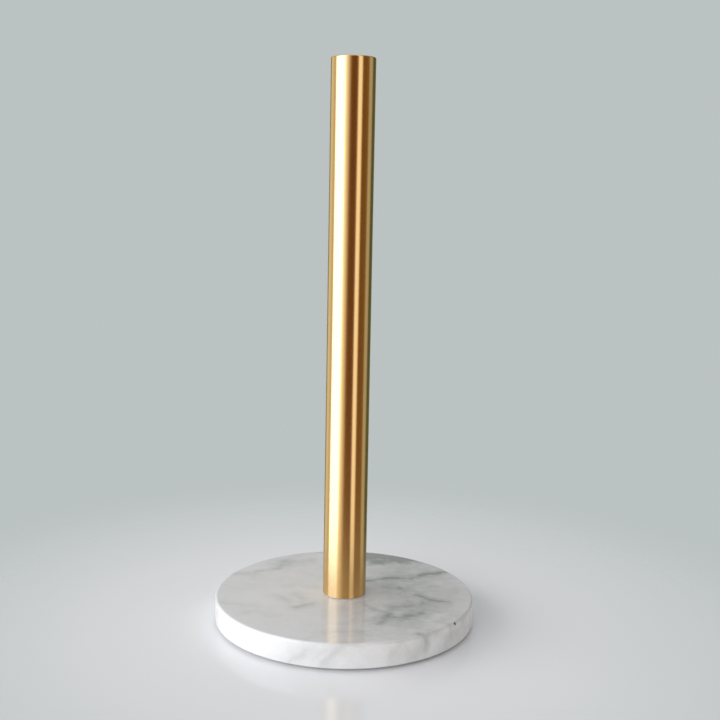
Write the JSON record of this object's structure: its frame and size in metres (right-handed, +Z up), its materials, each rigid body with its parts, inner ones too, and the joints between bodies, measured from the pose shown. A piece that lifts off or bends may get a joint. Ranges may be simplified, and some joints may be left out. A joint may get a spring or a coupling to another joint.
{
  "type": "paper towel holder",
  "caption": "Countertop paper towel holder with a round polished stone base and a straight gold metal pole that a paper roll drops over.",
  "frame": {"origin": "on the surface that the holder stands on, under the middle of the pole", "axes": "+Z up along the pole; +X and +Y are level, between the feet, and +Y points away from the viewer of the front view"},
  "size_m": [0.15, 0.15, 0.32],
  "materials": {
    "marble": "polished white marble with grey veining",
    "brushed_gold": "gold-coloured metal coating over steel, satin, finely brushed",
    "foot_silicone": "translucent soft silicone",
    "clear_gasket": "clear soft plastic",
    "zinc_steel": "bright zinc plating",
    "black_rubber": "matt black rubber"
  },
  "bodies": {
    "base": {"marble_base": "marble", "foot_1": "foot_silicone", "foot_2": "foot_silicone", "foot_3": "foot_silicone", "foot_4": "foot_silicone", "pole_gasket": "clear_gasket", "spring_washer": "zinc_steel", "flat_washer": "zinc_steel", "rubber_washer": "black_rubber"},
    "screw": {"fixing_screw": "zinc_steel"},
    "pole": {"pole_tube": "brushed_gold", "pole_cap": "brushed_gold", "threaded_plug": "zinc_steel"}
  },
  "joints": [
    {"name": "pole_rise", "type": "slide", "parent": "base", "child": "pole", "axis": [0, 0, 1], "range_m": [0, 0.008]},
    {"name": "screw_turn", "type": "hinge", "parent": "base", "child": "screw", "pos_m": [0, 0, 0], "axis": [0, 0, -1], "range_deg": [0, 2880]}
  ],
  "couplings": [
    {"joint": "screw_turn", "follows": "pole_rise", "rad_per_m": 6283.2}
  ]
}
